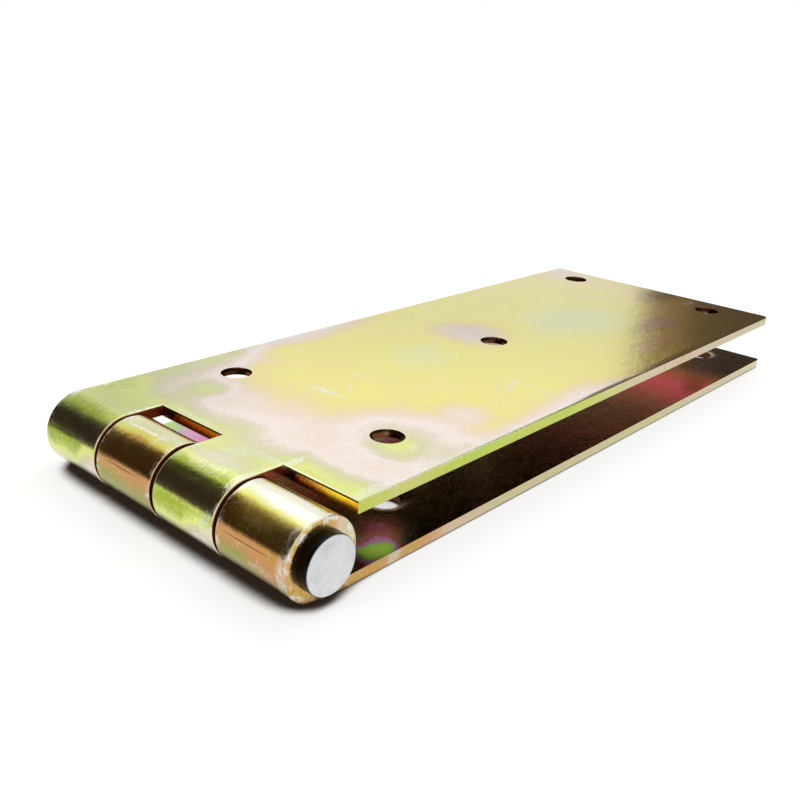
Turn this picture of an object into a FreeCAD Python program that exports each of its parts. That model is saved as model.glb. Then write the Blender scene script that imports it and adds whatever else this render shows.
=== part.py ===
import FreeCAD, Part
import math
import os
import Sketcher

# Folding hinge for heavy doors: two flat steel leaves, each stamped from sheet and rolled into two
# knuckles, threaded in turn on one plain pin. It lies folded, on the outer face of its lower leaf.
#
# Frame: millimetres, +Z up, +X from the pin to the free ends of the leaves, Y along the pin. The
# origin is the centre of the folded hinge's outline, on the surface that the hinge lies on.
# Each leaf is drawn about the pin's axis, with its outer face up, and then put in its place.

# Driving sizes: name, value in millimetres or degrees, what it sets
SIZES = (
    ("leaf_width", 80.0, "leaf, along the pin"),
    ("leaf_reach", 198.0, "leaf, from the pin's axis to its free end"),
    ("sheet_gauge", 2.5, "thickness of the sheet"),
    ("corner_radius", 1.5, "corners of the free end"),
    ("edge_radius", 0.35, "rounding that stamping leaves round the outer face"),
    ("pin_diameter", 12.0, "pin"),
    ("pin_projection", 2.5, "pin, beyond each side of the leaves"),
    ("pin_chamfer", 0.4, "ends of the pin"),
    ("running_gap", 0.05, "pin to knuckle, on the radius"),
    ("knuckle_gap", 1.0, "knuckle to knuckle, along the pin"),
    ("notch_gap", 0.1, "back of a notch, beyond the radius of the knuckle in it"),
    ("roll_gap", 0.8, "end of a roll to the inner face of its leaf"),
    ("hole_diameter", 7.5, "screw holes"),
    ("hole_land", 0.8, "straight part of a screw hole, next to the outer face"),
    ("sink_angle", 110.0, "countersinks in the inner faces"),
    ("first_row_margin", 25.35, "first pair of screws, from the back of the notches"),
    ("last_row_margin", 10.0, "last pair of screws, from the free end"),
    ("side_margin", 15.0, "pairs of screws, from the sides of a centred pattern"),
    ("row_shift", 1.4, "all the screws, off the leaf's middle line, towards +Y"),
    ("middle_shift", 6.0, "middle screw, from halfway between the pairs, towards the pin"),
)

# Sizes that follow from the driving ones
FOLLOWING = (
    ("bore_radius", "=pin_diameter / 2 + running_gap", "inside of a knuckle"),
    ("roll_radius", "=bore_radius + sheet_gauge", "outside of a knuckle, and the pin's height"),
    ("pitch", "=leaf_width / 4", "one knuckle and one gap, along the pin"),
    ("notch_back", "=roll_radius + notch_gap", "back of a notch, from the pin's axis"),
    ("first_row", "=notch_back + first_row_margin", "first pair of screws, from the pin's axis"),
    ("last_row", "=leaf_reach - last_row_margin", "last pair of screws, from the pin's axis"),
    ("middle_row", "=(first_row + last_row) / 2 - middle_shift", "middle screw, from the pin's axis"),
    ("half_spread", "=leaf_width / 2 - side_margin", "screws of a pair, from the pattern's middle line"),
    ("sink_depth", "=sheet_gauge - hole_land", "depth of the countersinks"),
    ("axis_place", "=(roll_radius - leaf_reach) / 2", "pin's axis, from the origin along X"),
)

# Ends of a sketch's lines and arcs, its own axes, and its origin, where they start
START, END, CENTRE = range(1, 4)
LEVEL_AXIS, VERTICAL_AXIS = range(-1, -3, -1)
ORIGIN = (LEVEL_AXIS, START)

# How close together two places count as one, in millimetres
TOLERANCE = 1e-4


def make_sheet(doc):
    """Writes the sizes into the document's spreadsheet."""
    sheet = doc.addObject("Spreadsheet::Sheet", "sizes")
    for row, (name, value, note) in enumerate(SIZES + FOLLOWING, start=1):
        sheet.set(f"A{row}", name)
        sheet.set(f"B{row}", str(value))
        sheet.set(f"C{row}", note)
        sheet.setAlias(f"B{row}", name)
    doc.recompute()
    return sheet


def origin_feature(body, role):
    """Finds one of the body's own origin planes or axes."""
    return next(feature for feature in body.Origin.OriginFeatures if feature.Role == role)


def new_sketch(body, name, plane):
    """Starts a sketch on one of the body's own origin planes."""
    sketch = body.newObject("Sketcher::SketchObject", name)
    sketch.AttachmentSupport = [(origin_feature(body, plane), "")]
    sketch.MapMode = "FlatFace"
    return sketch


def constrain(sketch, kind, *where):
    """Adds one geometric constraint."""
    sketch.addConstraint(Sketcher.Constraint(kind, *where))


def dimension(sketch, name, size, kind, *where):
    """Adds one dimension, by its present value, and ties it to the sheet."""
    index = sketch.addConstraint(Sketcher.Constraint(kind, *where))
    sketch.renameConstraint(index, name)
    sketch.setExpression(f"Constraints.{name}", size)


def add_outline(sketch, corners):
    """Joins corner points by straight lines into a closed outline."""
    points = [FreeCAD.Vector(x, y, 0) for x, y in corners]
    following = points[1:] + points[:1]
    lines = [sketch.addGeometry(Part.LineSegment(*ends), False) for ends in zip(points, following)]
    for line, after in zip(lines, lines[1:] + lines[:1]):
        constrain(sketch, "Coincident", line, END, after, START)
    return lines


def add_plate_and_roll(body, sheet):
    """Pads the side view of a leaf: the flat plate and the roll that closes round the pin."""
    sketch = new_sketch(body, "side_view", "XZ_Plane")
    inner = sheet.bore_radius
    outer = sheet.roll_radius
    reach = sheet.leaf_reach
    roll_start = math.radians(90)
    roll_end = math.radians(360) + math.asin((inner - sheet.roll_gap) / outer)
    centre = FreeCAD.Vector(0, 0, 0)
    up = FreeCAD.Vector(0, 0, 1)
    way_out = FreeCAD.Vector(math.cos(roll_end), math.sin(roll_end), 0)

    def line(start, end):
        return sketch.addGeometry(Part.LineSegment(start, end), False)

    def arc(radius):
        circle = Part.Circle(centre, up, radius)
        return sketch.addGeometry(Part.ArcOfCircle(circle, roll_start, roll_end), False)

    outer_face = line(FreeCAD.Vector(reach, outer, 0), FreeCAD.Vector(0, outer, 0))
    outer_roll = arc(outer)
    roll_tip = line(way_out * outer, way_out * inner)
    inner_roll = arc(inner)
    inner_face = line(FreeCAD.Vector(0, inner, 0), FreeCAD.Vector(reach, inner, 0))
    free_end = line(FreeCAD.Vector(reach, inner, 0), FreeCAD.Vector(reach, outer, 0))

    constrain(sketch, "Coincident", outer_face, END, outer_roll, START)
    constrain(sketch, "Coincident", outer_roll, END, roll_tip, START)
    constrain(sketch, "Coincident", roll_tip, END, inner_roll, END)
    constrain(sketch, "Coincident", inner_roll, START, inner_face, START)
    constrain(sketch, "Coincident", inner_face, END, free_end, START)
    constrain(sketch, "Coincident", free_end, END, outer_face, START)
    constrain(sketch, "Coincident", outer_roll, CENTRE, *ORIGIN)
    constrain(sketch, "Coincident", inner_roll, CENTRE, *ORIGIN)
    constrain(sketch, "PointOnObject", outer_roll, START, VERTICAL_AXIS)
    constrain(sketch, "PointOnObject", inner_roll, START, VERTICAL_AXIS)
    constrain(sketch, "PointOnObject", *ORIGIN, roll_tip)
    constrain(sketch, "Horizontal", outer_face)
    constrain(sketch, "Horizontal", inner_face)
    constrain(sketch, "Vertical", free_end)
    dimension(sketch, "bore", "sizes.bore_radius", "Radius", inner_roll, inner)
    dimension(sketch, "roll", "sizes.roll_radius", "Radius", outer_roll, outer)
    dimension(sketch, "reach", "sizes.leaf_reach", "DistanceX", *ORIGIN, free_end, START, reach)
    tip_to_face = (roll_tip, START, inner_face, START)
    dimension(sketch, "tip", "sizes.roll_gap", "DistanceY", *tip_to_face, sheet.roll_gap)

    pad = body.newObject("PartDesign::Pad", "plate_and_roll")
    pad.Profile = sketch
    pad.SideType = "Symmetric"
    pad.setExpression("Length", "sizes.leaf_width")


def cut_notches(body, sheet):
    """Cuts the two notches that make room for the other leaf's knuckles."""
    sketch = new_sketch(body, "notch_outline", "XY_Plane")
    front = sheet.roll_radius + sheet.sheet_gauge
    back = sheet.notch_back
    low = -sheet.knuckle_gap / 2
    high = sheet.pitch + sheet.knuckle_gap / 2
    corners = ((-front, high), (-front, low), (back, low), (back, high))
    front_side, low_side, back_side, high_side = add_outline(sketch, corners)
    constrain(sketch, "Vertical", front_side)
    constrain(sketch, "Vertical", back_side)
    constrain(sketch, "Horizontal", low_side)
    constrain(sketch, "Horizontal", high_side)
    to_front = (front_side, START, *ORIGIN)
    to_back = (*ORIGIN, back_side, START)
    to_low = (low_side, START, *ORIGIN)
    to_high = (*ORIGIN, high_side, START)
    dimension(sketch, "front", "sizes.roll_radius + sizes.sheet_gauge", "DistanceX", *to_front, front)
    dimension(sketch, "back", "sizes.notch_back", "DistanceX", *to_back, back)
    dimension(sketch, "low", "sizes.knuckle_gap / 2", "DistanceY", *to_low, -low)
    dimension(sketch, "high", "sizes.pitch + sizes.knuckle_gap / 2", "DistanceY", *to_high, high)

    notch = body.newObject("PartDesign::Pocket", "notch")
    notch.Profile = sketch
    notch.Type = "ThroughAll"
    notch.SideType = "Symmetric"

    notches = body.newObject("PartDesign::LinearPattern", "notches")
    notches.Originals = [notch]
    notches.Direction = (origin_feature(body, "Y_Axis"), [""])
    notches.Reversed = True
    notches.Occurrences = 2
    notches.setExpression("Length", "2 * sizes.pitch")
    body.Tip = notches


def drill_screw_holes(body, sheet, shift_way):
    """Drills and countersinks the five screw holes from the inner face."""
    sketch = new_sketch(body, "screw_centres", "XY_Plane")
    sketch.setExpression("AttachmentOffset.Base.z", "sizes.bore_radius")
    up = FreeCAD.Vector(0, 0, 1)
    rows = (
        ("first_row", 1), ("first_row", -1),
        ("middle_row", 0),
        ("last_row", 1), ("last_row", -1),
    )
    for number, (row, side) in enumerate(rows, start=1):
        along = getattr(sheet, row)
        across = shift_way * sheet.row_shift + side * sheet.half_spread
        place = f"{shift_way} * sizes.row_shift + {side} * sizes.half_spread"
        circle = Part.Circle(FreeCAD.Vector(along, across, 0), up, sheet.hole_diameter / 2)
        hole = sketch.addGeometry(circle, False)
        dimension(sketch, f"size_{number}", "sizes.hole_diameter", "Diameter", hole, sheet.hole_diameter)
        dimension(sketch, f"along_{number}", f"sizes.{row}", "DistanceX", *ORIGIN, hole, CENTRE, along)
        if across > 0:
            dimension(sketch, f"across_{number}", place, "DistanceY", *ORIGIN, hole, CENTRE, across)
        else:
            dimension(sketch, f"across_{number}", f"-({place})", "DistanceY", hole, CENTRE, *ORIGIN, -across)
    body.Document.recompute()

    holes = body.newObject("PartDesign::Hole", "screw_holes")
    holes.Profile = sketch
    holes.Reversed = True
    holes.DepthType = "ThroughAll"
    holes.ThreadType = "None"
    holes.setExpression("Diameter", "sizes.hole_diameter")
    holes.HoleCutType = "Countersink"
    holes.HoleCutCustomValues = True
    holes.setExpression("HoleCutCountersinkAngle", "sizes.sink_angle")
    sink = "sizes.hole_diameter + 2 * sizes.sink_depth * tan(sizes.sink_angle / 2 * 1 deg)"
    holes.setExpression("HoleCutDiameter", sink)


def edge_names(shape, wanted):
    """Names the edges of a shape that a test picks."""
    return [f"Edge{i}" for i, edge in enumerate(shape.Edges, start=1) if wanted(edge)]


def round_corners(body, sheet):
    """Rounds the two corners of the free end."""

    def is_corner(edge):
        ends = [vertex.Point for vertex in edge.Vertexes]
        upright = len(ends) == 2 and abs(ends[0].z - ends[1].z) > sheet.sheet_gauge - TOLERANCE
        return upright and all(abs(point.x - sheet.leaf_reach) < TOLERANCE for point in ends)

    base = body.Tip
    corners = body.newObject("PartDesign::Fillet", "corners")
    corners.Base = (base, edge_names(base.Shape, is_corner))
    corners.setExpression("Radius", "sizes.corner_radius")


def soften_outer_edges(body, sheet):
    """Rounds the outline of the outer face, on round the sides of the knuckles."""

    def on_outer_surface(point):
        flat = point.x > -TOLERANCE and abs(point.z - sheet.roll_radius) < TOLERANCE
        return flat or abs(math.hypot(point.x, point.z) - sheet.roll_radius) < TOLERANCE

    def is_outline(edge):
        points = edge.discretize(5)
        on_tip = abs(points[0].y - points[-1].y) > TOLERANCE and points[0].z < sheet.bore_radius
        is_hole = edge.isClosed()
        return all(map(on_outer_surface, points)) and not on_tip and not is_hole

    base = body.Tip
    rounding = body.newObject("PartDesign::Fillet", "outer_edges")
    rounding.Base = (base, edge_names(base.Shape, is_outline))
    rounding.setExpression("Radius", "sizes.edge_radius")


def place_on_pin(body, half_turns):
    """Brings a body's own axis to the pin, turned over about X by half turns."""
    over = FreeCAD.Rotation(FreeCAD.Vector(1, 0, 0), 180 * half_turns)
    body.Placement = FreeCAD.Placement(FreeCAD.Vector(0, 0, 0), over)
    body.setExpression("Placement.Base.x", "sizes.axis_place")
    body.setExpression("Placement.Base.z", "sizes.roll_radius")


def make_leaf(doc, sheet, label, half_turns):
    """Makes one leaf, as it comes from the press: flat plate, two knuckles and five screw holes."""
    body = doc.addObject("PartDesign::Body", label)
    body.Label = label
    shift_way = -1 if half_turns else 1
    add_plate_and_roll(body, sheet)
    doc.recompute()
    cut_notches(body, sheet)
    doc.recompute()
    drill_screw_holes(body, sheet, shift_way)
    doc.recompute()
    round_corners(body, sheet)
    doc.recompute()
    soften_outer_edges(body, sheet)
    place_on_pin(body, half_turns)
    doc.recompute()
    return body


def make_pin(doc, sheet):
    """Makes the pin: a plain round bar with its ends chamfered."""
    body = doc.addObject("PartDesign::Body", "hinge_pin")
    body.Label = "hinge_pin"
    sketch = new_sketch(body, "section", "XZ_Plane")
    circle = Part.Circle(FreeCAD.Vector(0, 0, 0), FreeCAD.Vector(0, 0, 1), sheet.pin_diameter / 2)
    round_bar = sketch.addGeometry(circle, False)
    constrain(sketch, "Coincident", round_bar, CENTRE, *ORIGIN)
    dimension(sketch, "across", "sizes.pin_diameter", "Diameter", round_bar, sheet.pin_diameter)

    pad = body.newObject("PartDesign::Pad", "round_bar")
    pad.Profile = sketch
    pad.SideType = "Symmetric"
    pad.setExpression("Length", "sizes.leaf_width + 2 * sizes.pin_projection")
    doc.recompute()

    ends = body.newObject("PartDesign::Chamfer", "ends")
    ends.Base = (pad, edge_names(pad.Shape, lambda edge: edge.isClosed()))
    ends.setExpression("Size", "sizes.pin_chamfer")
    place_on_pin(body, 0)
    doc.recompute()
    return body


def check(doc, bodies):
    """Stops the script if anything failed to build."""
    for item in doc.Objects:
        if {"Invalid", "Error"} & set(item.State):
            raise RuntimeError(f"{item.Label} failed: {item.State}")
    for body in bodies:
        shape = body.Shape
        if shape.isNull() or not shape.isValid() or len(shape.Solids) != 1:
            raise RuntimeError(f"{body.Label} is not one valid solid")


def main():
    """Builds the hinge and writes one file for each of its pieces."""
    doc = FreeCAD.newDocument("folding_hinge")
    sheet = make_sheet(doc)
    bodies = [
        make_leaf(doc, sheet, "upper_leaf", 0),
        make_leaf(doc, sheet, "lower_leaf", 1),
        make_pin(doc, sheet),
    ]
    check(doc, bodies)
    os.makedirs("parts", exist_ok=True)
    for body in bodies:
        body.Shape.exportStep(f"parts/{body.Label}.step")
        box = body.Shape.BoundBox
        print(f"{body.Label}: {body.Shape.Volume:.1f} mm3, {len(body.Shape.Faces)} faces,"
              f" x {box.XMin:.3f} to {box.XMax:.3f}, y {box.YMin:.3f} to {box.YMax:.3f},"
              f" z {box.ZMin:.3f} to {box.ZMax:.3f}")


main()
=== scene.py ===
"""Folding hinge of yellow passivated steel: two rolled leaves on one pin, lying folded in a white studio."""
import logging
import math
from collections.abc import Callable
from dataclasses import dataclass
from enum import Enum

import bpy
from mathutils import Matrix, Quaternion, Vector


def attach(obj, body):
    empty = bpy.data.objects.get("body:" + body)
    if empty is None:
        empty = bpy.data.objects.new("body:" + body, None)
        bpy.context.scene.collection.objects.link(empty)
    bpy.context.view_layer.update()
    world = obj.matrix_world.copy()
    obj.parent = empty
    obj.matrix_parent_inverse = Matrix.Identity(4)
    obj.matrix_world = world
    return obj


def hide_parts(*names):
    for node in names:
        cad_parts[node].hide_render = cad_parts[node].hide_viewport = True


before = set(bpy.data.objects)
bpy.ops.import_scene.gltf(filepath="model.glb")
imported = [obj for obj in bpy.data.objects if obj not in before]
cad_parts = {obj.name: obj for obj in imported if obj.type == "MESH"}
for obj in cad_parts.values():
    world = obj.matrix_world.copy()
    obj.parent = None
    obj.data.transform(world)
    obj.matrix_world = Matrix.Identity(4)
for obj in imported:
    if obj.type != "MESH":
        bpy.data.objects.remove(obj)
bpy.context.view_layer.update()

MM = 0.001
LOG = logging.getLogger("hinge")

Tree = bpy.types.NodeTree
Socket = bpy.types.NodeSocket
Triple = tuple[float, float, float]
Span = tuple[float, float]
Stops = tuple[tuple[float, str], ...]
Pairs = tuple[tuple[float, float], ...]


def linear(hex_colour: str) -> tuple[float, float, float, float]:
    """Turns an sRGB hex colour into a linear one.

    Args:
        hex_colour: Six hex digits, such as "E8E27A".

    Returns:
        Red, green, blue and a full alpha.
    """
    parts = [int(hex_colour[i:i + 2], 16) / 255 for i in (0, 2, 4)]
    values = [c / 12.92 if c <= 0.04045 else ((c + 0.055) / 1.055) ** 2.4 for c in parts]
    return (*values, 1.0)


@dataclass(frozen=True)
class HingeSizes:
    """The hinge's own sizes, in millimetres and degrees, about its folded place."""

    axis_x: float = -94.725
    axis_z: float = 8.55
    roll_radius: float = 8.55
    bore_radius: float = 6.05
    gauge: float = 2.5
    reach: float = 198.0
    width: float = 80.0
    notch_back: float = 8.65
    knuckle_gap: float = 1.0
    roll_sweep: float = 307.88
    roll_steps: int = 96
    corner_radius: float = 1.5
    edge_radius: float = 0.45
    edge_radius_below: float = 0.26
    knuckle_end_radius: float = 0.75
    hole_radius: float = 3.75
    hole_rim: float = 0.12
    sink_radius: float = 6.178
    sink_depth: float = 0.6
    row_shift: float = 1.4
    first_row: float = 34.0
    middle_row: float = 105.0
    last_row: float = 188.0
    half_spread: float = 25.0
    pin_radius: float = 6.0
    pin_half_length: float = 42.5
    pin_chamfer: float = 0.4
    pin_end_rim: float = 1.2
    smooth_angle: float = 40.0

    @property
    def free_end(self) -> float:
        """Place of the free end along X."""
        return self.axis_x + self.reach

    @property
    def top(self) -> float:
        """Height of the upper leaf's outer face."""
        return self.axis_z + self.roll_radius

    @property
    def plate_start(self) -> float:
        """Place of the backs of the notches along X."""
        return self.axis_x + self.notch_back

    @property
    def pitch(self) -> float:
        """Width of one knuckle with its gap."""
        return self.width / 4

    @property
    def holes(self) -> tuple[Span, ...]:
        """Places of the screw holes, from the pin's axis and from their own middle line."""
        rows = [(row, way * self.half_spread) for row in (self.first_row, self.last_row) for way in (-1, 1)]
        return ((self.middle_row, 0.0), *rows)


SIZES = HingeSizes()
# How close, in millimetres, two places are taken to be the same.
NEAR = 0.01


class Side(Enum):
    """Which of the two leaves."""

    UPPER = "upper"
    LOWER = "lower"


class Pick(Enum):
    """What a selection picks."""

    EDGE = "EDGE"
    FACE = "FACE"


def point(x: float, y: float, z: float) -> Triple:
    """Turns a place in millimetres into metres."""
    return (x * MM, y * MM, z * MM)


def clear_selection() -> None:
    """Leaves nothing selected."""
    bpy.ops.object.select_all(action="DESELECT")


def new_piece(name: str) -> bpy.types.Object:
    """Names the primitive that was just added and puts its place into its mesh.

    Args:
        name: The piece's name.

    Returns:
        The piece, at the origin.
    """
    piece = bpy.context.active_object
    piece.name = name
    piece.data.name = name
    bpy.ops.object.transform_apply(location=True, rotation=True, scale=True)
    return piece


def select(piece: bpy.types.Object, what: Pick, test: Callable) -> None:
    """Selects parts of a piece's mesh by a test, and stays in edit mode.

    Args:
        piece: The piece, which is the active object.
        what: Edges or faces.
        test: Takes a list of the part's corner places in millimetres and its normal or None.
    """
    if bpy.context.mode != "EDIT_MESH":
        bpy.ops.object.mode_set(mode="EDIT")
    bpy.ops.mesh.select_mode(type=what.value)
    bpy.ops.mesh.select_all(action="DESELECT")
    bpy.ops.object.mode_set(mode="OBJECT")
    mesh = piece.data
    places = [vertex.co / MM for vertex in mesh.vertices]
    for part in mesh.polygons if what is Pick.FACE else mesh.edges:
        normal = part.normal if what is Pick.FACE else None
        part.select = bool(test([places[i] for i in part.vertices], normal))
    bpy.ops.object.mode_set(mode="EDIT")


def apply_modifier(piece: bpy.types.Object, kind: str, **settings: object) -> None:
    """Adds one modifier with its settings and applies it.

    Args:
        piece: The piece.
        kind: The modifier's type.
        settings: Its settings, by name.
    """
    bpy.context.view_layer.objects.active = piece
    bpy.ops.object.modifier_add(type=kind)
    modifier = piece.modifiers[-1]
    for name, value in settings.items():
        setattr(modifier, name, value)
    bpy.ops.object.modifier_apply(modifier=modifier.name)


def smooth(piece: bpy.types.Object) -> None:
    """Shades a piece smooth, with flat faces kept flat beside their rounded edges."""
    bpy.ops.object.shade_smooth_by_angle(angle=math.radians(SIZES.smooth_angle))
    apply_modifier(piece, "WEIGHTED_NORMAL", mode="FACE_AREA", weight=100, keep_sharp=True)


def empty_material(name: str) -> tuple[bpy.types.Material, Tree]:
    """Makes a material and clears its node tree.

    Args:
        name: The material's name.

    Returns:
        The material and its tree.
    """
    material = bpy.data.materials.new(name)
    material.use_nodes = True
    material.node_tree.nodes.clear()
    return material, material.node_tree


def add_node(tree: Tree, kind: str, settings: dict | None = None, **inputs: object) -> bpy.types.Node:
    """Adds one node, sets it up and links it.

    Args:
        tree: The node tree.
        kind: The node's type, without ShaderNode.
        settings: The node's own settings, by name.
        inputs: Values, or the sockets to link from, by the input's name; a name such as i1 is an index.

    Returns:
        The node.
    """
    node = tree.nodes.new("ShaderNode" + kind)
    for name, value in (settings or {}).items():
        setattr(node, name, value)
    for name, value in inputs.items():
        by_index = name[0] == "i" and name[1:].isdigit()
        socket = node.inputs[int(name[1:]) if by_index else name.replace("_", " ")]
        if isinstance(value, Socket):
            tree.links.new(value, socket)
        else:
            socket.default_value = value
    return node


COLOURS = {"data_type": "RGBA"}
NUMBERS = {"data_type": "FLOAT"}
POINT = {"vector_type": "POINT"}
TEXTURE = {"vector_type": "TEXTURE"}
SMOOTH = {"interpolation_type": "SMOOTHSTEP"}
PER_MM = (1 / MM,) * 3
# The middle of a noise, where most of its numbers lie.
NOISE_SPAN = (0.3, 0.7)


class Pattern(Enum):
    """Noises of the finishes: patterns per millimetre, octaves and roughness.

    DRIFT and CLOUD make patches of about 15 mm and WAVES unevenness of 4 mm, as in rolled sheet. GRAIN,
    DIMPLES, SHEAR and SPECKS are 0.5 to 1 mm. The zinc's own crystals are too fine to show, so PLATING is
    drawn as coarse as it needs to show, 0.3 mm.
    """

    DRIFT = (0.06, 4.0, 0.6)
    CLOUD = (0.07, 7.0, 0.64)
    SPECKS = (2.1, 2.0, 0.7)
    SHEAR = (1.7, 3.0, 0.7)
    GRAIN = (1.3, 2.0, 0.7)
    BROKEN = (1.7, 4.0, 0.7)
    RUBBED = (0.45, 7.0, 0.72)
    DASHES = (1.0, 0.0, 0.5)
    WAVES = (0.28, 3.0, 0.55)
    DIMPLES = (1.1, 2.0, 0.6)
    PLATING = (3.2, 3.0, 0.7)
    MOTTLE = (0.35, 6.0, 0.65)
    SAWN = (2.2, 4.0, 0.7)

    def at(self, place: Socket) -> dict[str, object]:
        """Gives a noise node's inputs at a place."""
        scale, detail, roughness = self.value
        return {"Vector": place, "Scale": scale, "Detail": detail, "Roughness": roughness}


def runs(span: Span, result: Span = (0.0, 1.0)) -> dict[str, float]:
    """Gives a map range node's numbers: the span that it reads and what it turns it into."""
    return {"From_Min": span[0], "From_Max": span[1], "To_Min": result[0], "To_Max": result[1]}


@dataclass(frozen=True)
class Bloom:
    """A soft patch where the passivation film is thicker or thinner, or, in the painted shade patches, where painted
    shade darkens the outer face.

    Attributes:
        centre: Its middle, in millimetres.
        radii: How far it reaches each way, in millimetres.
        amount: What it adds to the film's thickness there, or how far painted shade darkens it, from -1 to 1.
    """

    centre: Triple
    radii: Triple
    amount: float


@dataclass(frozen=True)
class Mark:
    """A small rubbed mark, or a fine dark line, which is either one of the real creases or a painted dark reflection.

    Attributes:
        centre: Its middle, in millimetres.
        radii: Half its length and width, in millimetres.
        turn: Degrees that it is turned about the upright.
        amount: How strong it is, from 0 to 1.
    """

    centre: Triple
    radii: Triple
    turn: float
    amount: float


@dataclass(frozen=True)
class Film:
    """The passivation film of one zone of a leaf.

    Attributes:
        along: Pairs of place along X in millimetres and thickness, 0 to 1.
        colours: Pairs of thickness and hex colour.
        blooms: Where it differs.
        drift: How far it wanders everywhere.
        grain: How far it changes from grain to grain.
    """

    along: Pairs
    colours: Stops
    blooms: tuple[Bloom, ...] = ()
    drift: float = 0.05
    grain: float = 0.035


def film_ramp(tree: Tree, thickness: Socket, stops: Stops) -> Socket:
    """Colours a film by its thickness.

    Args:
        tree: The node tree.
        thickness: Film thickness, 0 to 1.
        stops: Pairs of thickness and hex colour.

    Returns:
        The colour socket.
    """
    return fill_ramp(tree, thickness, [(place, linear(colour)) for place, colour in stops])


def fill_ramp(tree: Tree, value: Socket, stops: list) -> Socket:
    """Makes a colour ramp from pairs of place and linear colour."""
    node = add_node(tree, "ValToRGB", i0=value)
    ramp = node.color_ramp
    ramp.elements.remove(ramp.elements[1])
    for i, (place, colour) in enumerate(stops):
        stop = ramp.elements[0] if i == 0 else ramp.elements.new(place)
        stop.position = place
        stop.color = colour
    return node.outputs["Color"]


def curve(tree: Tree, value: Socket, pairs: Pairs) -> Socket:
    """Turns a number into another by straight runs between pairs.

    Args:
        tree: The node tree.
        value: The number.
        pairs: Pairs of number and result, the results from 0 to 1.

    Returns:
        The result's socket.
    """
    low, high = pairs[0][0], pairs[-1][0]
    share = add_node(tree, "MapRange", Value=value, **runs((low, high))).outputs[0]
    stops = [((place - low) / (high - low), (result,) * 3 + (1.0,)) for place, result in pairs]
    return fill_ramp(tree, share, stops)


def combine(tree: Tree, operation: str, *terms: object) -> Socket:
    """Takes several numbers together, one after another.

    Args:
        tree: The node tree.
        operation: ADD, SUBTRACT, MULTIPLY or MAXIMUM.
        terms: The numbers or their sockets.

    Returns:
        The result's socket.
    """
    result = terms[0]
    for term in terms[1:]:
        result = add_node(tree, "Math", {"operation": operation}, i0=result, i1=term).outputs[0]
    return result


def within(tree: Tree, place: Socket, spot: Bloom | Mark, core: float, turn: float = 0.0) -> Socket:
    """Gives a spot's amount inside it, falling softly to 0 at its reach.

    Args:
        tree: The node tree.
        place: The place in millimetres.
        spot: The spot.
        core: The share of its reach that has the full amount.
        turn: Degrees that it is turned about the upright.

    Returns:
        The amount's socket.
    """
    near = add_node(
        tree, "Mapping", TEXTURE, Vector=place, Location=spot.centre,
        Rotation=(0.0, 0.0, math.radians(turn)), Scale=spot.radii,
    ).outputs[0]
    away = add_node(tree, "VectorMath", {"operation": "LENGTH"}, i0=near).outputs["Value"]
    return add_node(tree, "MapRange", SMOOTH, Value=away, **runs((core, 1.0), (spot.amount, 0.0))).outputs[0]


@dataclass(frozen=True)
class Zones:
    """Where one zone of a leaf gives way to another: pairs of the last place outside and the first inside it."""

    plate: Span = (-86.14, -86.1)
    roll: Span = (-86.16, -86.2)
    past_pin: Span = (-93.2, -95.2)
    off_plate: Span = (4.0, 4.5)
    inner: Span = (7.5, 7.1)
    outer: Span = (7.1, 7.5)
    by_notch: Span = (-85.4, -85.9)
    inside_ends: Span = (39.0, 38.0)
    sideways: Span = (0.75, 0.85)
    upright: Span = (0.986, 0.974)
    knuckle: Span = (-86.5, -88.0)
    by_side: Span = (2.2, 0.6)
    start_angle: float = 30.0
    end_angle: float = 390.0


ZONES = Zones()


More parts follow.
